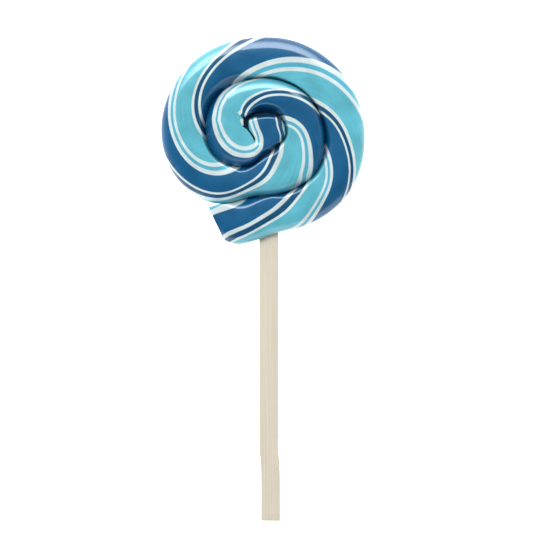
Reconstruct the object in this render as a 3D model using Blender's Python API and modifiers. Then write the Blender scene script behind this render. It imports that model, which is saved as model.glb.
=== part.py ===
"""Swirl lollipop, lying on its back.

A twisted rope of boiled sugar is wound flat, pressed until its turns fuse, and pushed on to a
flat wooden stick. The shown face looks up, the stick points along -Y, and the origin is on the
surface that the lollipop lies on, under the middle of the round.
"""

from math import cos, exp, floor, pi, radians, sin

import bmesh
import bpy
from mathutils import Vector

MM = 0.001

# How the rope is wound. The turn angle grows outwards along the rope, clockwise seen from above,
# and is 0 towards +X. The groove between two turns is given by its distance from the middle of
# the winding, in millimetres, every 30 degrees: hand winding is uneven, so each has its own value.
WINDING_MIDDLE = Vector((-4.7, 1.5)) * MM
GROOVE_STEP = 30.0
GROOVE_FIRST = -120.0
GROOVE_RADII = (
    5.5, 6.5, 9.0, 12.0, 13.0, 10.5, 9.5, 12.0, 14.0, 16.0, 17.0, 18.0,
    19.0, 20.0, 22.5, 25.5, 27.5, 28.0, 25.5, 24.0, 30.0, 32.5, 33.5, 34.0,
    34.5, 35.5, 38.5, 41.0, 42.5, 43.0, 40.5, 40.5, 40.5, 38.0,
)
WAIST = (795.0, 12.0, -1.8 * MM)       # turn, spread and depth: pinched in where the stick enters
TAIL_SWELL = (818.0, 9.0, 1.4 * MM)    # swollen behind the cut end

# The rope's inner end is folded back on itself: its inside runs down one side of a crease,
# round the crease's tip, and up the other side.
ROPE_START = -30.0       # turn angle of the tucked inner end
FOLD_IN = 10.0           # from here to FOLD_OUT the rope turns about the crease's tip
FOLD_OUT = 130.0
FOLD_END = 250.0         # past here the rope lies against its own previous turn
FREE_EDGE = 468.0        # past here the rope's outer side is the rim of the round
ROPE_END = 846.0
FOLD_TIP = Vector((-2.9, -2.0)) * MM
CREASE_BOW = 1.5 * MM
CREASE_WIDTH = 0.3 * MM
CREASE_HOLE = 1.6 * MM   # how much wider the crease opens at its top
END_BULGE = 1.1 * MM

# The outer end is cut straight across, and its inner corner stands off the round a little.
TAIL_CUT = Vector((-18.1, -31.4)) * MM
TAIL_CUT_ANGLE = 205.0   # direction that the cut end faces, anticlockwise from +X
TAIL_START = 790.0
TAIL_LIFT = 1.6 * MM

# Heights above the surface that the lollipop lies on
THICKNESS = 12.0 * MM
END_THICKNESS = 10.0 * MM
END_ROUNDING = 5.0       # degrees of turn over which the inner end rounds off
GROOVE_HEIGHT = 7.0 * MM
UNDER_GROOVE = 1.2 * MM
RIM_HEIGHT = 5.2 * MM
POCKET_HEIGHT = 3.5 * MM
POCKET_REACH = 18.0 * MM  # the pocket and crease lie within this of the middle of the winding
CREASE_TIP_HEIGHT = 9.5 * MM
UPPER_ROUNDNESS = 2.5    # exponent of the crown: 2 is a half circle, more is flatter
UNDER_ROUNDNESS = 5.0
UNDER_LAND = 1.12        # above 1 leaves a flat land along the underside

STATION_STEP = 6.0       # degrees of turn between cross sections
STRIPS = 10              # strips across the rope

# Stick
STICK_WIDTH = 7.1 * MM
STICK_THICKNESS = 2.0 * MM
STICK_LENGTH = 145.0 * MM
STICK_END = Vector((2.0, -143.4, 5.0)) * MM   # middle of the free end
STICK_EDGE = 0.35 * MM
FIT_GAP = 0.3 * MM

MERGE = 0.02 * MM


def ramp(value, start, end):
    """Smooth step from 0 at start to 1 at end."""
    part = min(max((value - start) / (end - start), 0.0), 1.0)
    return part * part * (3.0 - 2.0 * part)


def groove_radius(turn):
    """Distance of the groove from the middle of the winding, smooth through GROOVE_RADII."""
    place = (turn - GROOVE_FIRST) / GROOVE_STEP
    last = len(GROOVE_RADII) - 1
    index = min(max(floor(place), 0), last - 1)
    part = place - index
    before, here, there, after = (GROOVE_RADII[min(max(index + k, 0), last)] for k in (-1, 0, 1, 2))
    radius = here + 0.5 * part * (
        there - before
        + part * (2.0 * before - 5.0 * here + 4.0 * there - after)
        + part * part * (3.0 * (here - there) + after - before)
    )
    uneven = sum(depth * exp(-(((turn - at) / spread) ** 2)) for at, spread, depth in (WAIST, TAIL_SWELL))
    return radius * MM + uneven


def wound(radius, turn):
    """Point at a turn angle and a distance from the middle of the winding."""
    return WINDING_MIDDLE + radius * Vector((cos(radians(turn)), -sin(radians(turn))))


def crease(rise):
    """Point of the crease, from its tip at 0 to the mouth of the pocket at 1."""
    top = wound(groove_radius(FOLD_END - 360.0), FOLD_END)
    return FOLD_TIP.lerp(top, rise) - Vector((CREASE_BOW * sin(pi * rise * rise), 0.0))


def inner_side(turn):
    """Inner side of the rope: the crease in the first turn, then the turn before."""
    if turn > FOLD_END:
        lift = TAIL_LIFT * ramp(turn, FREE_EDGE + 358.0, ROPE_END)
        return wound(groove_radius(turn - 360.0) + lift, turn)
    if turn >= FOLD_OUT:
        return crease(ramp(turn, FOLD_OUT, FOLD_END))
    if turn >= FOLD_IN:
        return FOLD_TIP
    rise = (FOLD_IN - turn) / (FOLD_IN - ROPE_START)
    opening = CREASE_WIDTH * ramp(rise, 0.0, 0.2) + CREASE_HOLE * ramp(rise, 0.45, 0.8)
    return crease(rise) + Vector((opening, 0.0))


def groove_height(turn):
    """Height of the rope's outer edge: pocket, then groove, then rim."""
    height = POCKET_HEIGHT + (GROOVE_HEIGHT - POCKET_HEIGHT) * ramp(turn, ROPE_START, 0.0)
    return height + (RIM_HEIGHT - height) * ramp(turn, FREE_EDGE - 12.0, FREE_EDGE + 6.0)


def inner_height(turn):
    """Height of the rope's inner edge: deep in the crease's hole and shallow at its tip."""
    if turn > FOLD_END:
        return groove_height(turn - 360.0)
    near_tip = ramp(turn, ROPE_START + 10.0, FOLD_IN) - ramp(turn, FOLD_OUT, FOLD_END - 40.0)
    return POCKET_HEIGHT + (CREASE_TIP_HEIGHT - POCKET_HEIGHT) * near_tip


def under_height(turn):
    """Height of the underside's edge: a shallow groove, or the rim where the rope is free."""
    return UNDER_GROOVE + (RIM_HEIGHT - UNDER_GROOVE) * ramp(turn, FREE_EDGE - 12.0, FREE_EDGE + 6.0)


def crown(across, roundness):
    """Half of a rounded section: 1 in the middle of the rope and 0 at its edges."""
    return max(1.0 - abs(across) ** roundness, 0.0) ** (1.0 / roundness)


def rope_point(turn, across):
    """Point of the shown face, and the height of the underside below it.

    across runs from -1 at the rope's inner side to 1 at its outer side.
    """
    inner = inner_side(turn)
    outer = wound(groove_radius(turn), turn)
    place = inner.lerp(outer, 0.5 + 0.5 * across)
    place.y += END_BULGE * (1.0 - across * across) * (1.0 - ramp(turn, ROPE_START, ROPE_START + 25.0))

    edge = groove_height(turn) if across > 0.0 else inner_height(turn)
    top = END_THICKNESS + (THICKNESS - END_THICKNESS) * ramp(turn, FOLD_IN, FOLD_OUT)
    rounding = min((turn - ROPE_START) / END_ROUNDING, 1.0)
    top = edge + (top - edge) * (1.0 - (1.0 - rounding) ** 2) ** 0.5
    height = edge + (top - edge) * crown(across, UPPER_ROUNDNESS)

    under_edge = under_height(turn if across > 0.0 else turn - 360.0)
    under = max(under_edge * (1.0 - UNDER_LAND * crown(across, UNDER_ROUNDNESS)), 0.0)
    return Vector((place.x, place.y, height)), under


def cut_tail(bm, turn_layer):
    """Cut the rope's outer end straight across."""
    tail = [face for face in bm.faces if all(v[turn_layer] > TAIL_START for v in face.verts)]
    edges = {edge for face in tail for edge in face.edges}
    verts = {vert for face in tail for vert in face.verts}
    facing = Vector((cos(radians(TAIL_CUT_ANGLE)), sin(radians(TAIL_CUT_ANGLE)), 0.0))
    bmesh.ops.bisect_plane(
        bm, geom=[*tail, *edges, *verts], dist=MERGE * 0.5,
        plane_co=TAIL_CUT.to_3d(), plane_no=facing, clear_outer=True,
    )


def candy_mesh():
    """Wound rope with its turns fused: a sheet for the shown face, thickened downwards."""
    stations = round((ROPE_END - ROPE_START) / STATION_STEP)
    bm = bmesh.new()
    bmesh.ops.create_grid(bm, x_segments=stations, y_segments=STRIPS, size=1.0)
    turn_layer = bm.verts.layers.float.new("turn")
    under_layer = bm.verts.layers.float.new("underside")
    for vert in bm.verts:
        turn = ROPE_START + STATION_STEP * round((vert.co.x + 1.0) * 0.5 * stations)
        across = sin(radians(90.0 * vert.co.y))
        vert[turn_layer] = turn
        vert.co, vert[under_layer] = rope_point(turn, across)

    cut_tail(bm, turn_layer)
    bmesh.ops.remove_doubles(bm, verts=bm.verts, dist=MERGE)
    bmesh.ops.dissolve_degenerate(bm, edges=bm.edges, dist=MERGE)
    near = {vert for vert in bm.verts if (vert.co.xy - WINDING_MIDDLE).length < POCKET_REACH}
    pocket_rim = [edge for edge in bm.edges if edge.is_boundary and near.issuperset(edge.verts)]
    bmesh.ops.holes_fill(bm, edges=pocket_rim, sides=len(pocket_rim))
    bmesh.ops.triangulate(bm, faces=[face for face in bm.faces if len(face.verts) > 4])

    lower = bmesh.ops.extrude_face_region(bm, geom=bm.faces[:])["geom"]
    for item in lower:
        if isinstance(item, bmesh.types.BMVert):
            item.co.z = item[under_layer]
    bmesh.ops.remove_doubles(bm, verts=bm.verts, dist=MERGE)
    bmesh.ops.recalc_face_normals(bm, faces=bm.faces)

    mesh = bpy.data.meshes.new("candy_swirl")
    bm.to_mesh(mesh)
    bm.free()
    mesh.shade_smooth()
    mesh.set_sharp_from_angle(angle=radians(50.0))
    return mesh


def stick_block(name, gap):
    """Flat stick, or with a gap the block that makes room for it."""
    size = Vector((STICK_WIDTH + 2.0 * gap, STICK_LENGTH + 2.0 * gap, STICK_THICKNESS + 2.0 * gap))
    bpy.ops.mesh.primitive_cube_add(size=1.0, location=STICK_END + Vector((0.0, STICK_LENGTH / 2, 0.0)))
    block = bpy.context.object
    block.name = name
    block.data.name = name
    block.scale = size
    bpy.ops.object.transform_apply(location=False, rotation=False, scale=True)
    return block


def material(name, colour, roughness):
    """Plain Principled material."""
    made = bpy.data.materials.new(name)
    made.use_nodes = True
    shader = made.node_tree.nodes["Principled BSDF"]
    shader.inputs["Base Color"].default_value = (*colour, 1.0)
    shader.inputs["Roughness"].default_value = roughness
    shader.inputs["Metallic"].default_value = 0.0
    return made


def put_in(collection, item):
    """Leave an object in one collection only."""
    for old in list(item.users_collection):
        old.objects.unlink(item)
    collection.objects.link(item)


def main():
    for item in list(bpy.data.objects):
        bpy.data.objects.remove(item)
    parts = bpy.data.collections.new("swirl_lollipop")
    cutters = bpy.data.collections.new("cutters")
    bpy.context.scene.collection.children.link(parts)
    bpy.context.scene.collection.children.link(cutters)

    stick = stick_block("stick", 0.0)
    stick.data.materials.append(material("birch", (0.72, 0.65, 0.54), 0.7))
    edge = stick.modifiers.new("eased edges", "BEVEL")
    edge.width = STICK_EDGE
    edge.segments = 2
    put_in(parts, stick)

    socket = stick_block("stick_socket", FIT_GAP)
    socket.hide_render = True
    socket.display_type = "WIRE"
    put_in(cutters, socket)

    candy = bpy.data.objects.new("candy_swirl", candy_mesh())
    candy.data.materials.append(material("boiled sugar", (0.10, 0.49, 0.62), 0.15))
    parts.objects.link(candy)
    cut = candy.modifiers.new("stick socket", "BOOLEAN")
    cut.operation = "DIFFERENCE"
    cut.solver = "EXACT"
    cut.object = socket


main()
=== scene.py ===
from math import cos, exp, log, pi, radians, sin

import bpy
import numpy as np
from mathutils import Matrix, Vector


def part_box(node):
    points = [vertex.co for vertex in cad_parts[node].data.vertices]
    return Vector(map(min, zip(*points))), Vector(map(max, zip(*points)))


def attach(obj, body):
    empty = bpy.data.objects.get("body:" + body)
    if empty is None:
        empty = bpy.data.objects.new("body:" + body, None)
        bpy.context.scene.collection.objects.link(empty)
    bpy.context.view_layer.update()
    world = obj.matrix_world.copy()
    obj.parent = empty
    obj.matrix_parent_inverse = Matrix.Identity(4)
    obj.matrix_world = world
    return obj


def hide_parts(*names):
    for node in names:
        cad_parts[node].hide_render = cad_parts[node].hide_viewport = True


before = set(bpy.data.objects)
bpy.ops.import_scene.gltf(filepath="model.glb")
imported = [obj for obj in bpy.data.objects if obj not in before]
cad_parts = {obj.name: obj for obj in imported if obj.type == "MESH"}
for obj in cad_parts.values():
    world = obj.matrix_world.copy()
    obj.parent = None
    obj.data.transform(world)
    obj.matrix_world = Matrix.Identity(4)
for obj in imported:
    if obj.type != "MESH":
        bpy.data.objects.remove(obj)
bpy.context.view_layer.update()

mm = 0.001


def ramp(value, start, end):
    # smooth step from 0 at start to 1 at end
    part = min(max((value - start) / (end - start), 0.0), 1.0)
    return part * part * (3.0 - 2.0 * part)


def blend(low, high, part):
    return low + (high - low) * part


def bump(value, at, spread):
    # smooth hump, 1 at its top
    return exp(-(((value - at) / spread) ** 2))


def throughPoints(points, at):
    # smooth curve through (place, value) pairs, each slope taken from both neighbours
    last = len(points) - 1
    index = max([i for i in range(last) if points[i][0] <= at], default=0)
    (x0, y0), (x1, y1) = points[index], points[index + 1]

    def slope(i):
        (xa, ya), (xb, yb) = points[max(i - 1, 0)], points[min(i + 1, last)]
        return (yb - ya) / (xb - xa)

    part = (at - x0) / (x1 - x0)
    square, cube = part * part, part * part * part
    return (
        y0 * (2 * cube - 3 * square + 1) + y1 * (3 * square - 2 * cube)
        + (x1 - x0) * (slope(index) * (cube - 2 * square + part) + slope(index + 1) * (cube - square))
    )


def toLinear(hexColour):
    # sRGB hex, such as "#5cbbcc", to the linear colour that a shader takes
    parts = [int(hexColour[i:i + 2], 16) / 255 for i in (1, 3, 5)]
    return (*[c / 12.92 if c <= 0.04045 else ((c + 0.055) / 1.055) ** 2.4 for c in parts], 1.0)


def addNode(tree, kind, links=(), values=(), settings=()):
    # one node, with what is linked to its sockets, its sockets' own values and its settings
    node = tree.nodes.new(kind)
    for name, value in dict(settings).items():
        setattr(node, name, value)
    for name, value in dict(values).items():
        node.inputs[name].default_value = value
    for name, source in dict(links).items():
        tree.links.new(source, node.inputs[name])
    return node


def mapping(fromLow, fromHigh, toLow, toHigh):
    return {"From Min": fromLow, "From Max": fromHigh, "To Min": toLow, "To Max": toHigh}


def selectNothing():
    if bpy.context.object and bpy.context.object.mode == "EDIT":
        bpy.ops.object.mode_set(mode="OBJECT")
    bpy.ops.object.select_all(action="DESELECT")


def editMode(on):
    bpy.ops.object.mode_set(mode="EDIT" if on else "OBJECT")


def editNothing(kind):
    # into edit mode, to pick edges or faces, with nothing picked yet
    editMode(True)
    bpy.ops.mesh.select_mode(type=kind)
    bpy.ops.mesh.select_all(action="DESELECT")


# Turn angles are in degrees along the rope, growing outwards, clockwise seen from above, 0 towards +X.
candy = {
    "windingMiddle": Vector((-4.7, 1.5)) * mm,
    "grooveStep": 30.0,
    "grooveFirst": -120.0,
    "grooveRadii": (  # distance of the groove between two turns from the middle, in mm
        5.5, 6.5, 9.0, 12.0, 13.0, 10.5, 9.5, 12.0, 14.0, 16.0, 17.0, 18.0,
        19.0, 20.0, 22.5, 25.5, 27.5, 28.4, 25.6, 24.0, 30.0, 32.5, 33.5, 34.0,
        34.5, 35.5, 38.5, 41.0, 42.5, 43.0, 40.5, 40.5, 40.5, 38.0,
    ),
    "waist": (795.0, 12.0, -1.8 * mm),      # pinched in where the stick enters: turn, spread, depth
    "tailSwell": (818.0, 9.0, 1.4 * mm),
    "tailCorner": (832.0, 6.0, -1.8 * mm),
    "ropeStart": -30.0,
    "foldIn": 10.0,                         # the rope turns about the crease's tip from here
    "foldOut": 130.0,                       # to here
    "foldEnd": 250.0,                       # then lies along its own previous turn
    "freeFrom": 456.0,                      # from here to freeTo the outer side turns into the rim
    "freeTo": 474.0,
    "ropeEnd": 846.0,
    "foldTip": Vector((-2.9, -2.0)) * mm,
    "creaseBow": 1.5 * mm,
    "creaseWidth": 0.3 * mm,
    "creaseWidens": (0.0, 0.2),             # opens to its width over this part of the way from its tip
    "creaseHole": 1.0 * mm,
    "holeWidens": (0.45, 0.8),              # and to a hole over this part
    "nicks": ((238.0, 5.0, 1.8 * mm), (200.0, 5.0, 0.8 * mm)),  # by the pocket: turn, spread, depth
    "nicksEnd": 260.0,                      # past here the rope keeps to its previous turn, unnicked
    "endBulge": 1.1 * mm,
    "endBulgeRun": 25.0,
    "tailCut": Vector((-18.1, -31.4, 0.0)) * mm,
    "tailCutAngle": 205.0,                  # direction that the cut end faces, anticlockwise from +X
    "tailStart": 790.0,
    "coreSize": 0.80,                       # of the pale core at the cut, as a part of the whole
    "coreSink": 0.12 * mm,
    "highlightDentAt": Vector((-7.8, 5.2)) * mm,     # a shallow dent beside the hole, coloured pale as a painted highlight where its edge catches the light
    "highlightDentAlong": -63.0,
    "highlightDentSize": (3.4 * mm, 1.2 * mm, 0.25 * mm),
    "highlightDentAbove": 0.7,                       # it leaves what is below this part of the thickness whole
    "tailFree": 832.0,                      # past here the tail stands off the round
    "tailLift": 3.1 * mm,
    "endThickness": 11.5 * mm,
    "endRounding": 6.5,
    "grooveHeight": 5.4 * mm,
    "underGroove": 1.2 * mm,
    "rimHeight": 7.4 * mm,
    "pocketHeight": 0.8 * mm,
    "pocketReach": 18.0 * mm,
    "creaseTipHeight": 11.3 * mm,
    "creaseTipRise": (-14.0, 10.0),         # the inner side comes up to that height between these turns
    "creaseTipFall": (130.0, 180.0),        # and goes down to the pocket again
    # The crown: its outer half is rounded, with an exponent of 2 for a half circle and more for flatter,
    # and its inner half is flat as far as a shoulder, at a part of the half width, and then a wall.
    "outerRoundness": (
        (-30, 4.5), (5, 4.5), (45, 2.6), (200, 2.4), (250, 2.9), (290, 3.0), (315, 3.7), (372, 3.7),
        (405, 2.9), (425, 2.6), (470, 2.1), (540, 2.1), (590, 2.5), (680, 2.5), (730, 2.1), (846, 2.1),
    ),
    "innerShoulder": (
        (-30, 0.93), (8, 0.93), (22, 0.60), (112, 0.60), (132, 0.93), (250, 0.93), (280, 0.80),
        (305, 0.76), (330, 0.82), (350, 0.87), (385, 0.85), (400, 0.82), (420, 0.85), (440, 0.86),
        (465, 0.78), (480, 0.86), (530, 0.86), (565, 0.76), (605, 0.74), (640, 0.85), (665, 0.90),
        (700, 0.90), (725, 0.80), (745, 0.86), (783, 0.84), (792, 0.92), (802, 0.84), (812, 0.71),
        (819, 0.73), (824, 0.80), (828, 0.92), (846, 0.94),
    ),
    # how gently that shoulder turns down into the wall, by turn
    "innerSoftness": (
        (-30, 0.16), (8, 0.16), (22, 0.30), (112, 0.30), (132, 0.16), (250, 0.16), (292, 0.50),
        (325, 0.50), (345, 0.16), (425, 0.14), (440, 0.08), (455, 0.16), (464, 0.16), (472, 0.07),
        (500, 0.10), (530, 0.12), (550, 0.16), (575, 0.34), (608, 0.34), (632, 0.16), (708, 0.16),
        (726, 0.32), (742, 0.20), (760, 0.16), (846, 0.16),
    ),
    "dome": 0.35 * mm,
    "underRoundness": 5.0,
    "underRimRoundness": 3.0,
    "underLand": 1.12,
    "stationStep": 1.5,                     # degrees of turn between cross sections, a divisor of 360
    "strips": 40,                           # strips across the rope
    "merge": 0.004 * mm,
    "cutNearness": 0.05 * mm,               # how close to the cut's plane its faces lie
    "smoothBelow": 60.0,                    # edges sharper than this many degrees stay sharp
    "pocketMark": 2.0,                      # in the sheet's map, which ends at 1
    # Twist of the rope, as the number of fine stripes passed. A whole even number is the middle of a
    # dark stripe between two white ones, an odd number of a turquoise one. (turn, stripes) pairs.
    "twistInner": (
        (-30, -0.82), (-12, -0.70), (-3, -0.78), (5, -0.86), (130, -0.85), (160, -0.60), (190, -0.36),
        (207, -0.18), (230, -0.15), (241, 0.0), (252, 0.2), (341, 1.0), (383, 2.0), (483, 3.0), (541, 4.0),
        (625, 5.0), (697, 6.0), (733.5, 7.0), (764, 8.0), (790, 8.52), (808, 8.7), (823, 8.87), (840, 9.17),
    ),
    "twistMiddle": (
        (-30, -1.50), (10, -1.44), (30, -1.28), (42, -1.19), (60, -1.09), (100, -1.08), (138, -1.0),
        (167, -0.86), (210, -0.66), (240, -0.5), (264, -0.21), (285, 0.0), (367, 1.0), (437, 2.0), (518, 3.0),
        (586, 4.0), (666, 5.0), (723, 6.0), (758, 7.0), (792, 8.0), (808, 8.28), (823, 8.485), (838, 8.81),
    ),
    "twistOuter": (
        (-30, -2.0), (-5, -2.16), (15, -1.95), (40, -1.5), (60, -1.38), (100, -1.54), (150, -1.6),
        (197, -1.45), (240, -1.19), (269, -1.0), (295, -0.8), (335, 0.0), (397, 0.84), (403, 0.98),
        (414, 1.14), (513, 2.0), (582, 3.0), (629, 4.0), (705, 5.0), (753, 6.0), (783, 7.0), (808, 7.4),
        (817, 7.62), (819, 7.76), (821, 7.88), (824, 8.08), (827, 8.3), (846, 8.9),
    ),
    # each fine stripe's edges, from its middle: white from, colour from, colour to, white to
    "fineStripes": {
        -2: (-0.10, -0.06, 0.08, 0.13),
        -1: (-0.19, -0.035, 0.035, 0.15),
        0: (-0.19, -0.085, 0.085, 0.19),
        1: (-0.16, -0.045, 0.055, 0.14),
        2: (-0.23, -0.08, 0.09, 0.18),
        3: (-0.20, -0.055, 0.055, 0.175),
        4: (-0.16, -0.07, 0.07, 0.15),
        5: (-0.22, -0.065, 0.065, 0.18),
        6: (-0.17, -0.065, 0.065, 0.13),
        7: (-0.18, -0.05, 0.05, 0.16),
        8: (-0.21, -0.11, 0.11, 0.25),
        9: (-0.25, -0.03, 0.20, 0.30),
    },
    "usualStripe": (-0.18, -0.06, 0.06, 0.16),
    "girth": 42.0 * mm,                     # way round the rope, the unit of its UV map
}


def grooveRadius(turn):
    steps = [(candy["grooveFirst"] + candy["grooveStep"] * i, r) for i, r in enumerate(candy["grooveRadii"])]
    radius = throughPoints(steps, turn) * mm
    for at, spread, depth in (candy["waist"], candy["tailSwell"], candy["tailCorner"]):
        radius += depth * bump(turn, at, spread)
    return radius


def wound(radius, turn):
    return candy["windingMiddle"] + radius * Vector((cos(radians(turn)), -sin(radians(turn))))


def crease(rise):
    # the fold's crease, from its tip at 0 to the mouth of the pocket at 1
    top = wound(grooveRadius(candy["foldEnd"] - 360.0), candy["foldEnd"])
    return candy["foldTip"].lerp(top, rise) - Vector((candy["creaseBow"] * sin(pi * rise * rise), 0.0))


def innerSide(turn):
    if turn > candy["nicksEnd"]:
        lift = candy["tailLift"] * ramp(turn, candy["tailFree"], candy["ropeEnd"])
        return wound(grooveRadius(turn - 360.0) + lift, turn)
    if turn >= candy["foldOut"]:
        place = crease(ramp(turn, candy["foldOut"], candy["foldEnd"]))
        if turn > candy["foldEnd"]:
            place = wound(grooveRadius(turn - 360.0), turn)
        for at, spread, depth in candy["nicks"]:
            place.x -= depth * bump(turn, at, spread)
        return place
    if turn >= candy["foldIn"]:
        return candy["foldTip"].copy()
    rise = (candy["foldIn"] - turn) / (candy["foldIn"] - candy["ropeStart"])
    opening = candy["creaseWidth"] * ramp(rise, *candy["creaseWidens"])
    opening += candy["creaseHole"] * ramp(rise, *candy["holeWidens"])
    return crease(rise) + Vector((opening, 0.0))


def freed(turn):
    # 0 where the rope's outer side is a groove, 1 where it is the rim
    return ramp(turn, candy["freeFrom"], candy["freeTo"])


def grooveHeight(turn):
    height = blend(candy["pocketHeight"], candy["grooveHeight"], ramp(turn, candy["ropeStart"], 0.0))
    return blend(height, candy["rimHeight"], freed(turn))


def innerHeight(turn):
    if turn > candy["foldEnd"]:
        return grooveHeight(turn - 360.0)
    nearTip = ramp(turn, *candy["creaseTipRise"]) - ramp(turn, *candy["creaseTipFall"])
    return blend(candy["pocketHeight"], candy["creaseTipHeight"], nearTip)


def underHeight(turn):
    return blend(candy["underGroove"], candy["rimHeight"], freed(turn))


def underRoundness(turn):
    return blend(candy["underRoundness"], candy["underRimRoundness"], freed(turn))


def crown(across, roundness):
    # evenly rounded, from 1 in the middle to 0 at the edge
    return max(1.0 - abs(across) ** roundness, 0.0) ** (1.0 / roundness)


def bluff(across, shoulder, softness):
    # flat as far as the shoulder, then straight down to the edge, with a soft bend between the two
    past = (abs(across) - shoulder) / (1.0 - shoulder)
    return max(1.0 - softness * log(1.0 + exp(past / softness)), 0.0)


def ropeSection(turn, thickness):
    # what one cross section of the rope needs, worked out once for all its points
    fullness = ramp(turn, candy["foldIn"], candy["foldOut"])
    rounding = min((turn - candy["ropeStart"]) / candy["endRounding"], 1.0)
    return {
        "inner": innerSide(turn),
        "outer": wound(grooveRadius(turn), turn),
        "bulge": candy["endBulge"] * (1.0 - ramp(turn - candy["ropeStart"], 0.0, candy["endBulgeRun"])),
        "edges": (innerHeight(turn), grooveHeight(turn)),
        "top": blend(candy["endThickness"], thickness, fullness),
        "rounding": (1.0 - (1.0 - rounding) ** 2) ** 0.5,
        "roundness": throughPoints(candy["outerRoundness"], turn),
        "bluff": (throughPoints(candy["innerShoulder"], turn), throughPoints(candy["innerSoftness"], turn)),
        "underEdges": (underHeight(turn - 360.0), underHeight(turn)),
        "underRoundness": (underRoundness(turn - 360.0), underRoundness(turn)),
        "twist": [throughPoints(candy[name], turn) for name in ("twistInner", "twistMiddle", "twistOuter")],
    }


def ropePoint(section, across):
    # point of the shown face, and the height of the underside below it
    place = section["inner"].lerp(section["outer"], 0.5 + 0.5 * across)
    place.y += section["bulge"] * (1.0 - across * across)
    edge = section["edges"][across > 0.0]
    top = blend(edge, section["top"], section["rounding"])
    if across < 0.0:
        top -= candy["dome"] * across * across
    rise = crown(across, section["roundness"]) if across > 0.0 else bluff(across, *section["bluff"])
    height = blend(edge, top, rise)
    underEdge = section["underEdges"][across > 0.0]
    under = underEdge * (1.0 - candy["underLand"] * crown(across, section["underRoundness"][across > 0.0]))
    return Vector((place.x, place.y, height)), max(under, 0.0)


def stripesPassed(section, across, below):
    inner, middle, outer = section["twist"]
    if below:  # the underside carries on round the rope, which holds two fine stripes in all
        passed = (inner - 2.0) + (outer - inner + 2.0) * (0.5 + 0.5 * across)
    else:
        passed = middle + across * (0.5 * (outer - inner) + across * (0.5 * (outer + inner) - middle))
    nearest = round(passed)
    usual = candy["usualStripe"]
    drawn = candy["fineStripes"].get(nearest, usual)
    return nearest + float(np.interp(passed - nearest, (-0.5, *drawn, 0.5), (-0.5, *usual, 0.5)))


def ropeSections():
    stations = round((candy["ropeEnd"] - candy["ropeStart"]) / candy["stationStep"])
    turns = [candy["ropeStart"] + candy["stationStep"] * i for i in range(stations + 1)]
    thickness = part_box("candy_swirl")[1].z
    return [ropeSection(turn, thickness) for turn in turns]


def laySheet(sections):
    # the shown face as one sheet, with the sections along the rope and the strips across it
    stations = len(sections) - 1
    selectNothing()
    bpy.ops.mesh.primitive_grid_add(x_subdivisions=stations, y_subdivisions=candy["strips"], size=1.0)
    piece = bpy.context.object
    piece.name = piece.data.name = "candySwirl"
    underside = piece.data.attributes.new("underside", "FLOAT", "POINT")
    for vert in piece.data.vertices:
        station = round((vert.co.x + 0.5) * stations)
        vert.co, underside.data[vert.index].value = ropePoint(sections[station], sin(pi * vert.co.y))
    return piece


def cutFacing():
    angle = radians(candy["tailCutAngle"])
    return Vector((cos(angle), sin(angle), 0.0))


def cutTail(mesh):
    # straight across, where the warm rope was snipped off
    editNothing("FACE")
    editMode(False)
    uvs = mesh.uv_layers.active.uv
    tailFrom = (candy["tailStart"] - candy["ropeStart"]) / (candy["ropeEnd"] - candy["ropeStart"])
    for face in mesh.polygons:
        face.select = all(uvs[loop].vector.x > tailFrom for loop in face.loop_indices)
    editMode(True)
    bpy.ops.mesh.bisect(
        plane_co=candy["tailCut"], plane_no=cutFacing(), clear_outer=True,
        threshold=candy["merge"] * 0.5,
    )
    editMode(False)


def stitchGrooves():
    # each turn to the one before it
    editMode(True)
    bpy.ops.mesh.select_all(action="SELECT")
    bpy.ops.mesh.remove_doubles(threshold=candy["merge"])
    bpy.ops.mesh.dissolve_degenerate(threshold=candy["merge"])
    editMode(False)


def closePocket(mesh):
    # a floor in the opening that the sheet has beside the rope's inner end
    editNothing("EDGE")
    bpy.ops.mesh.select_non_manifold(
        extend=False, use_wire=False, use_multi_face=False, use_non_contiguous=False, use_verts=False,
    )
    editMode(False)
    near = [(v.co.xy - candy["windingMiddle"]).length < candy["pocketReach"] for v in mesh.vertices]
    for edge in mesh.edges:
        edge.select = edge.select and all(near[v] for v in edge.vertices)
    editMode(True)
    bpy.ops.mesh.fill(use_beauty=True)
    editMode(False)
    uvs = mesh.uv_layers.active.uv
    for face in mesh.polygons:
        if face.select:
            for loop in face.loop_indices:
                uvs[loop].vector = (0.0, candy["pocketMark"])   # for mapStripes to find, which colours the floor dark as painted shade


def mapStripes(mesh, sections):
    # the UV map: how far along the rope, and how many pairs of fine stripes were passed round it
    middles = [ropePoint(section, 0.0)[0] for section in sections]
    along = [0.0]
    for here, there in zip(middles, middles[1:]):
        along.append(along[-1] + (there - here).length / candy["girth"])
    uvs = mesh.uv_layers.active.uv
    known = {}
    for face in mesh.polygons:
        below = face.select
        for loop in face.loop_indices:
            part, side = uvs[loop].vector
            if side > 1.0:
                uvs[loop].vector = (0.0, 0.0)   # painted shade: the pocket's floor is all one fine dark stripe, the rope's dark side, which also stands in for the shade in the hole
                continue
            place = (round(part * (len(sections) - 1)), round(side * candy["strips"], 3), below)
            if place not in known:
                known[place] = 0.5 * stripesPassed(sections[place[0]], sin(pi * (side - 0.5)), below)
            uvs[loop].vector = (along[place[0]], known[place])


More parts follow.
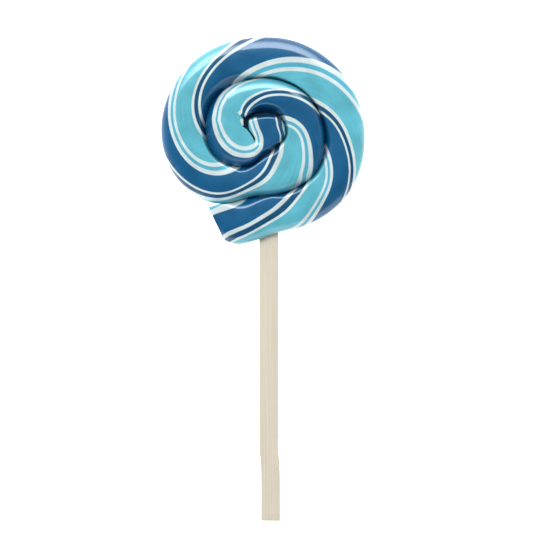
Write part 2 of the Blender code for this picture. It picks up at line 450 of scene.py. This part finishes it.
def thicken(mesh, sections):
    # a copy of the sheet below it, joined to it all round and dropped to the underside
    editMode(True)
    bpy.ops.mesh.select_mode(type="FACE")
    bpy.ops.mesh.select_all(action="SELECT")
    bpy.ops.mesh.extrude_region_move(TRANSFORM_OT_translate={"value": (0.0, 0.0, 0.0)})
    editMode(False)
    mapStripes(mesh, sections)
    underside = mesh.attributes["underside"]
    for vert in mesh.vertices:
        if vert.select:
            vert.co.z = underside.data[vert.index].value
    mesh.attributes.remove(underside)
    editMode(True)
    bpy.ops.mesh.select_all(action="SELECT")
    bpy.ops.mesh.remove_doubles(threshold=candy["merge"])
    bpy.ops.mesh.normals_make_consistent(inside=False)
    bpy.ops.mesh.select_all(action="DESELECT")
    editMode(False)


def showCore(mesh):
    # at the cut end, the coloured skin round a pale core
    facing = cutFacing()
    for face in mesh.polygons:
        offset = abs((face.center - candy["tailCut"]).dot(facing))
        face.select = offset < candy["cutNearness"] and abs(face.normal.dot(facing)) > 0.99
    cut = [face for face in mesh.polygons if face.select]
    middle = sum((face.center * face.area for face in cut), Vector()) / sum(face.area for face in cut)
    editMode(True)
    bpy.ops.mesh.extrude_region_move(TRANSFORM_OT_translate={"value": -facing * candy["coreSink"]})
    bpy.ops.transform.resize(value=(candy["coreSize"],) * 3, center_override=middle)
    editMode(False)
    for face in mesh.polygons:
        face.material_index = 1 if face.select else 0


def dentWithPaintedHighlight(mesh):
    # beside the hole, a shallow dent coloured pale with the core's sugar: a painted highlight where the edge
    # there catches the light
    length, width, depth = candy["highlightDentSize"]
    angle = radians(candy["highlightDentAlong"])
    along = Vector((cos(angle), sin(angle)))
    least = candy["highlightDentAbove"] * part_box("candy_swirl")[1].z
    paintedPale = set()
    for face in mesh.polygons:
        offset = face.center.xy - candy["highlightDentAt"]
        reach = Vector((offset.dot(along) / length, offset.cross(along) / width)).length
        if reach < 0.5 and face.center.z > least:
            # painted highlight: the dent's faces take the pale core colour
            face.material_index = 1
            paintedPale.update(face.vertices)
    for index in paintedPale:
        mesh.vertices[index].co.z -= depth


def windCandy():
    # a sheet for the shown face, wound and stitched along its grooves, then thickened downwards
    sections = ropeSections()
    piece = laySheet(sections)
    print("candy: rope placed")
    cutTail(piece.data)
    stitchGrooves()
    closePocket(piece.data)
    print("candy: pocket closed")
    thicken(piece.data, sections)
    showCore(piece.data)
    dentWithPaintedHighlight(piece.data)
    bpy.ops.object.shade_smooth_by_angle(angle=radians(candy["smoothBelow"]))
    print("candy: rope closed,", len(piece.data.polygons), "faces")
    return piece


sugar = {
    "white": "#d4e4e5",
    "turquoise": "#5fb9cb",
    "dark": "#0d5c8a",
    "fineTurquoise": "#52b1cb",
    # the fine dark stripes' colour, also the painted shade on the pocket's floor
    "fineDark": "#074e75",
    "bleed": 0.004,              # how far one colour runs into the next, in girths
    "streakWidth": 0.5 * mm,
    "streakLength": 14.0 * mm,
    "streakDepth": 0.02 * mm,
    "cloudSize": 7.0 * mm,
    "brightness": (0.83, 1.15),  # of the colours, from the dimmest streak to the brightest
    "dentSize": 3.0 * mm,
    "dentDepth": 0.12 * mm,
    "bodyRoughness": (0.34, 0.5),
    "glazeRoughness": 0.1,
    "glowDepth": 1.0 * mm,       # how far light spreads under the skin
    # the core's colour, also the pale colour of the painted highlight in the dent beside the hole
    "core": "#e3e8e4",
    "coreShade": "#bcd3d6",
    "strandSize": 0.8 * mm,
    "strandDepth": 0.1 * mm,
}


def boiledSugar():
    # Boiled sugar, pulled until the white turned satin, coloured, rolled into a rope and twisted warm:
    # clean-edged stripes in a glassy skin, with faint streaks where the sugar was drawn out.
    made = bpy.data.materials.new("boiledSugar")
    made.use_nodes = True
    tree = made.node_tree
    shader = tree.nodes["Principled BSDF"]
    coords = addNode(tree, "ShaderNodeTexCoord")
    split = addNode(tree, "ShaderNodeSeparateXYZ", {"Vector": coords.outputs["UV"]})
    passed = addNode(tree, "ShaderNodeMath", {0: split.outputs["Y"]}, settings={"operation": "FRACT"})
    bands = addNode(tree, "ShaderNodeValToRGB", {"Fac": passed.outputs[0]})
    names = ("white", "turquoise", "dark", "fineTurquoise", "fineDark")
    colours = {name: toLinear(sugar[name]) for name in names}
    low, inLow, inHigh, high = (0.5 * place for place in candy["usualStripe"])
    stops = [
        (0.0, "fineDark"), (inHigh, "white"), (high, "dark"),
        (0.5 + low, "white"), (0.5 + inLow, "fineTurquoise"), (0.5 + inHigh, "white"),
        (0.5 + high, "turquoise"), (1.0 + low, "white"), (1.0 + inLow, "fineDark"),
    ]
    elements = bands.color_ramp.elements
    elements[0].color = elements[1].color = colours["fineDark"]
    for (_, before), (place, after) in zip(stops, stops[1:]):
        elements.new(place - sugar["bleed"]).color = colours[before]
        elements.new(place + sugar["bleed"]).color = colours[after]

    # drawn-out streaks follow the stripes, and broad clouds lie anywhere
    girth = candy["girth"]
    stretch = (girth / sugar["streakLength"], girth / sugar["streakWidth"], 1.0)
    drawn = addNode(tree, "ShaderNodeMapping", {"Vector": coords.outputs["UV"]}, {"Scale": stretch})
    streaks = addNode(
        tree, "ShaderNodeTexNoise", {"Vector": drawn.outputs["Vector"]}, {"Scale": 1.0, "Detail": 3.0}
    )
    clouds = addNode(
        tree, "ShaderNodeTexNoise", {"Vector": coords.outputs["Object"]},
        {"Scale": 1.0 / sugar["cloudSize"], "Detail": 2.0},
    )
    shade = addNode(tree, "ShaderNodeMath", {0: streaks.outputs["Fac"], 1: clouds.outputs["Fac"]})
    bright = addNode(
        tree, "ShaderNodeMapRange", {"Value": shade.outputs[0]}, mapping(0.7, 1.3, *sugar["brightness"])
    )
    tint = addNode(
        tree, "ShaderNodeVectorMath", {0: bands.outputs["Color"], 1: bright.outputs["Result"]},
        settings={"operation": "MULTIPLY"},
    )
    tree.links.new(tint.outputs[0], shader.inputs["Base Color"])

    gloss = addNode(
        tree, "ShaderNodeMapRange", {"Value": clouds.outputs["Fac"]},
        mapping(0.3, 0.7, *sugar["bodyRoughness"]),
    )
    tree.links.new(gloss.outputs["Result"], shader.inputs["Roughness"])

    dents = addNode(
        tree, "ShaderNodeTexNoise", {"Vector": coords.outputs["Object"]},
        {"Scale": 1.0 / sugar["dentSize"], "Detail": 1.0},
    )
    uneven = addNode(
        tree, "ShaderNodeBump", {"Height": dents.outputs["Fac"]},
        {"Strength": 0.35, "Distance": sugar["dentDepth"]},
    )
    skin = addNode(
        tree, "ShaderNodeBump", {"Height": streaks.outputs["Fac"], "Normal": uneven.outputs["Normal"]},
        {"Strength": 0.25, "Distance": sugar["streakDepth"]},
    )
    for socket in ("Normal", "Coat Normal"):
        tree.links.new(skin.outputs["Normal"], shader.inputs[socket])
    finish = {
        "IOR": 1.5, "Specular IOR Level": 0.1,
        "Coat Weight": 1.0, "Coat Roughness": sugar["glazeRoughness"], "Coat IOR": 1.5,
        "Subsurface Weight": 0.08, "Subsurface Radius": (0.5, 0.9, 1.0),
        "Subsurface Scale": sugar["glowDepth"],
    }
    for socket, value in finish.items():
        shader.inputs[socket].default_value = value
    return made


def coreSugarAndPaintedHighlight():
    # The same sugar pulled white and left uncoloured: satin, with fine air-filled strands where it snapped.
    # Its pale colour is also the painted highlight in the dent beside the hole.
    made = bpy.data.materials.new("coreSugarAndPaintedHighlight")
    made.use_nodes = True
    tree = made.node_tree
    shader = tree.nodes["Principled BSDF"]
    coords = addNode(tree, "ShaderNodeTexCoord")
    strands = addNode(
        tree, "ShaderNodeTexNoise", {"Vector": coords.outputs["Object"]},
        {"Scale": 1.0 / sugar["strandSize"], "Detail": 3.0},
    )
    shade = addNode(tree, "ShaderNodeMix", {"Factor": strands.outputs["Fac"]}, settings={"data_type": "RGBA"})
    shade.inputs["A"].default_value = toLinear(sugar["core"])
    shade.inputs["B"].default_value = toLinear(sugar["coreShade"])
    tree.links.new(shade.outputs["Result"], shader.inputs["Base Color"])
    rough = addNode(
        tree, "ShaderNodeBump", {"Height": strands.outputs["Fac"]},
        {"Strength": 0.5, "Distance": sugar["strandDepth"]},
    )
    tree.links.new(rough.outputs["Normal"], shader.inputs["Normal"])
    shader.inputs["Roughness"].default_value = 0.35
    shader.inputs["IOR"].default_value = 1.54
    return made


candyPiece = windCandy()
candyPiece.data.materials.append(boiledSugar())
candyPiece.data.materials.append(coreSugarAndPaintedHighlight())
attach(candyPiece, "root")
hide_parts("candy_swirl")


stick = {
    "cuts": 48,                  # along its length
    "edge": 0.12 * mm,
    "edgeSteps": 4,
    "smoothBelow": 40.0,
    "crookFrom": -114.5 * mm,    # the free end leans a little to the right from here
    "crookTo": -127.0 * mm,
    "crook": 0.65 * mm,
    "birch": "#dcd2c0",
    "grain": "#bfb29c",
    "grainWidth": 0.55 * mm,
    "grainLength": 45.0 * mm,
    "grainDepth": 0.05 * mm,
    "grainShade": 0.38,          # how far the darkest grain goes towards the grain colour
    "fleckWidth": 0.12 * mm,
    "fleckLength": 2.5 * mm,
    "fleckShade": 0.35,
}


def shapeStick():
    low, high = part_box("stick")
    selectNothing()
    bpy.ops.mesh.primitive_cube_add(size=1.0, location=(low + high) / 2, scale=high - low)
    bpy.ops.object.transform_apply(location=True, rotation=True, scale=True)
    piece = bpy.context.object
    piece.name = piece.data.name = "stickBirch"
    mesh = piece.data
    editNothing("EDGE")
    editMode(False)
    for edge in mesh.edges:
        ends = [mesh.vertices[v].co for v in edge.vertices]
        edge.select = abs(ends[0].y - ends[1].y) > 0.5 * (high.y - low.y)
    editMode(True)
    bpy.ops.mesh.subdivide(number_cuts=stick["cuts"])
    editMode(False)
    for vert in mesh.vertices:
        vert.co.x += stick["crook"] * ramp(-vert.co.y, -stick["crookFrom"], -stick["crookTo"])
    bevel = piece.modifiers.new("eased edges", "BEVEL")
    bevel.width = stick["edge"]
    bevel.segments = stick["edgeSteps"]
    bevel.limit_method = "ANGLE"
    bpy.ops.object.modifier_apply(modifier=bevel.name)
    bpy.ops.object.shade_smooth_by_angle(angle=radians(stick["smoothBelow"]))
    return piece


def sandedBirch():
    # Birch, sawn along the grain and tumbled smooth: pale and dry, with fine straight grain and short
    # darker flecks. The grain is drawn a little coarser than life, so that it shows.
    made = bpy.data.materials.new("sandedBirch")
    made.use_nodes = True
    tree = made.node_tree
    shader = tree.nodes["Principled BSDF"]
    coords = addNode(tree, "ShaderNodeTexCoord")
    heights = []
    for width, length, detail in (("grainWidth", "grainLength", 3.0), ("fleckWidth", "fleckLength", 0.0)):
        stretch = (1.0 / stick[width], 1.0 / stick[length], 1.0 / stick[width])
        run = addNode(tree, "ShaderNodeMapping", {"Vector": coords.outputs["Object"]}, {"Scale": stretch})
        noise = addNode(
            tree, "ShaderNodeTexNoise", {"Vector": run.outputs["Vector"]}, {"Scale": 1.0, "Detail": detail}
        )
        heights.append(noise.outputs["Fac"])
    bands = addNode(
        tree, "ShaderNodeMapRange", {"Value": heights[0]}, mapping(0.35, 0.75, 0.0, stick["grainShade"])
    )
    flecks = addNode(
        tree, "ShaderNodeMapRange", {"Value": heights[1]}, mapping(0.68, 0.82, 0.0, stick["fleckShade"])
    )
    marks = addNode(tree, "ShaderNodeMath", {0: bands.outputs["Result"], 1: flecks.outputs["Result"]})
    colour = addNode(tree, "ShaderNodeMix", {"Factor": marks.outputs[0]}, settings={"data_type": "RGBA"})
    colour.inputs["A"].default_value = toLinear(stick["birch"])
    colour.inputs["B"].default_value = toLinear(stick["grain"])
    tree.links.new(colour.outputs["Result"], shader.inputs["Base Color"])
    fibres = addNode(
        tree, "ShaderNodeBump", {"Height": heights[0]}, {"Strength": 0.4, "Distance": stick["grainDepth"]}
    )
    tree.links.new(fibres.outputs["Normal"], shader.inputs["Normal"])
    shader.inputs["Roughness"].default_value = 0.62
    shader.inputs["IOR"].default_value = 1.45
    return made


stickPiece = shapeStick()
stickPiece.data.materials.append(sandedBirch())
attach(stickPiece, "root")
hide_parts("stick")
print("stick: ready")


smoothly = {"interpolation_type": "SMOOTHSTEP"}

studio = {
    "viewMiddle": Vector((2.43, -49.7, 6.0)) * mm,
    "viewWidth": 201.7 * mm,
    "viewDistance": 2.0,
    "floorSize": 6.0,
    "floorColour": "#f4f4f4",
    "floorGlow": 1.0,             # the pale floor is lit from below too, as a light table is
    "floorDrop": 0.05 * mm,       # how far it lies below the candy, which rests at 0
    "horizon": 1.1,
    "zenith": 0.17,
    "behind": 1.1,                # how bright the surroundings are behind the round
    "inFront": 0.9,               # and on the stick's side
    "lights": (  # name, bearing and height above the floor in degrees, distance, width, length, radiance
        ("softbox", 97.0, 34.0, 0.7, 1.3, 0.84, 10.0),
        ("frontCard", -85.0, 14.0, 0.7, 1.3, 0.36, 1.6),
        ("key", 114.0, 66.0, 1.6, 1.0, 1.0, 7.0),
    ),
    "softboxTint": (0.92, 0.97, 1.0),
    "softboxEnds": (0.5, 0.2),    # it fades to its ends: how far from its middle it is dark and full
    "softboxFoot": (0.22, 0.72),  # and towards its foot, between these parts of its height
    "softboxLeast": 0.12,         # where it still gives this part of its light
}


def layFloor():
    selectNothing()
    bpy.ops.mesh.primitive_plane_add(size=studio["floorSize"], location=(0.0, 0.0, -studio["floorDrop"]))
    floor = bpy.context.object
    floor.name = "floor"
    paper = bpy.data.materials.new("paleFloor")
    paper.use_nodes = True
    shader = paper.node_tree.nodes["Principled BSDF"]
    shader.inputs["Base Color"].default_value = toLinear(studio["floorColour"])
    shader.inputs["Roughness"].default_value = 0.9
    shader.inputs["Specular IOR Level"].default_value = 0.0
    shader.inputs["Emission Color"].default_value = (1.0, 1.0, 1.0, 1.0)
    shader.inputs["Emission Strength"].default_value = studio["floorGlow"]
    floor.data.materials.append(paper)


def hangLights():
    for name, bearing, above, distance, width, length, radiance in studio["lights"]:
        level = Vector((cos(radians(bearing)), sin(radians(bearing)), 0.0))
        towards = level * cos(radians(above)) + Vector((0.0, 0.0, sin(radians(above))))
        turned = towards.to_track_quat("Z", "Y").to_euler()
        bpy.ops.object.light_add(type="AREA", location=towards * distance, rotation=turned)
        light = bpy.context.object
        light.name = name
        light.data.shape = "RECTANGLE"
        light.data.size = width
        light.data.size_y = length
        light.data.energy = radiance * width * length * pi
        light.visible_camera = False
    # the softbox and the card only shine in the glaze, and the key light only lights
    for name in ("softbox", "frontCard"):
        bpy.data.objects[name].visible_diffuse = False
        bpy.data.objects[name].data.color = studio["softboxTint"]
    bpy.data.objects["key"].visible_glossy = False


def fadeSoftbox():
    # it dims towards its ends and its foot, so that its reflection has no hard edge there
    light = bpy.data.objects["softbox"].data
    light.use_nodes = True
    tree = light.node_tree
    place = addNode(tree, "ShaderNodeNewGeometry")
    split = addNode(tree, "ShaderNodeSeparateXYZ", {"Vector": place.outputs["Parametric"]})
    aside = addNode(tree, "ShaderNodeMath", {0: split.outputs["X"]}, {1: 0.5}, {"operation": "SUBTRACT"})
    fromMiddle = addNode(tree, "ShaderNodeMath", {0: aside.outputs[0]}, settings={"operation": "ABSOLUTE"})
    ends = addNode(
        tree, "ShaderNodeMapRange", {"Value": fromMiddle.outputs[0]},
        mapping(*studio["softboxEnds"], 0.0, 1.0), smoothly,
    )
    foot = addNode(
        tree, "ShaderNodeMapRange", {"Value": split.outputs["Y"]},
        mapping(*studio["softboxFoot"], studio["softboxLeast"], 1.0), smoothly,
    )
    faded = addNode(
        tree, "ShaderNodeMath", {0: ends.outputs["Result"], 1: foot.outputs["Result"]},
        settings={"operation": "MULTIPLY"},
    )
    tree.links.new(faded.outputs[0], tree.nodes["Emission"].inputs["Strength"])


def paintSurroundings():
    # a white room, brightest at the horizon
    world = bpy.data.worlds.new("studio")
    bpy.context.scene.world = world
    world.use_nodes = True
    tree = world.node_tree
    background = tree.nodes["Background"]
    coords = addNode(tree, "ShaderNodeTexCoord")
    split = addNode(tree, "ShaderNodeSeparateXYZ", {"Vector": coords.outputs["Generated"]})
    upwards = addNode(
        tree, "ShaderNodeMapRange", {"Value": split.outputs["Z"]},
        mapping(0.0, 0.8, studio["horizon"], studio["zenith"]), smoothly,
    )
    backwards = addNode(
        tree, "ShaderNodeMapRange", {"Value": split.outputs["Y"]},
        mapping(-0.8, 0.8, studio["inFront"], studio["behind"]), smoothly,
    )
    around = addNode(
        tree, "ShaderNodeMath", {0: upwards.outputs["Result"], 1: backwards.outputs["Result"]},
        settings={"operation": "MULTIPLY"},
    )
    tree.links.new(around.outputs[0], background.inputs["Strength"])
    background.inputs["Color"].default_value = (1.0, 1.0, 1.0, 1.0)


def placeCamera():
    # straight above, looking down
    scene = bpy.context.scene
    camera = bpy.data.objects.new("camera", bpy.data.cameras.new("camera"))
    scene.collection.objects.link(camera)
    camera.location = studio["viewMiddle"] + Vector((0.0, 0.0, studio["viewDistance"]))
    camera.data.lens = camera.data.sensor_width * studio["viewDistance"] / studio["viewWidth"]
    camera.data.clip_end = 10.0 * studio["viewDistance"]
    scene.camera = camera
    scene.view_settings.view_transform = "Standard"


layFloor()
hangLights()
fadeSoftbox()
paintSurroundings()
placeCamera()
print("studio: ready")
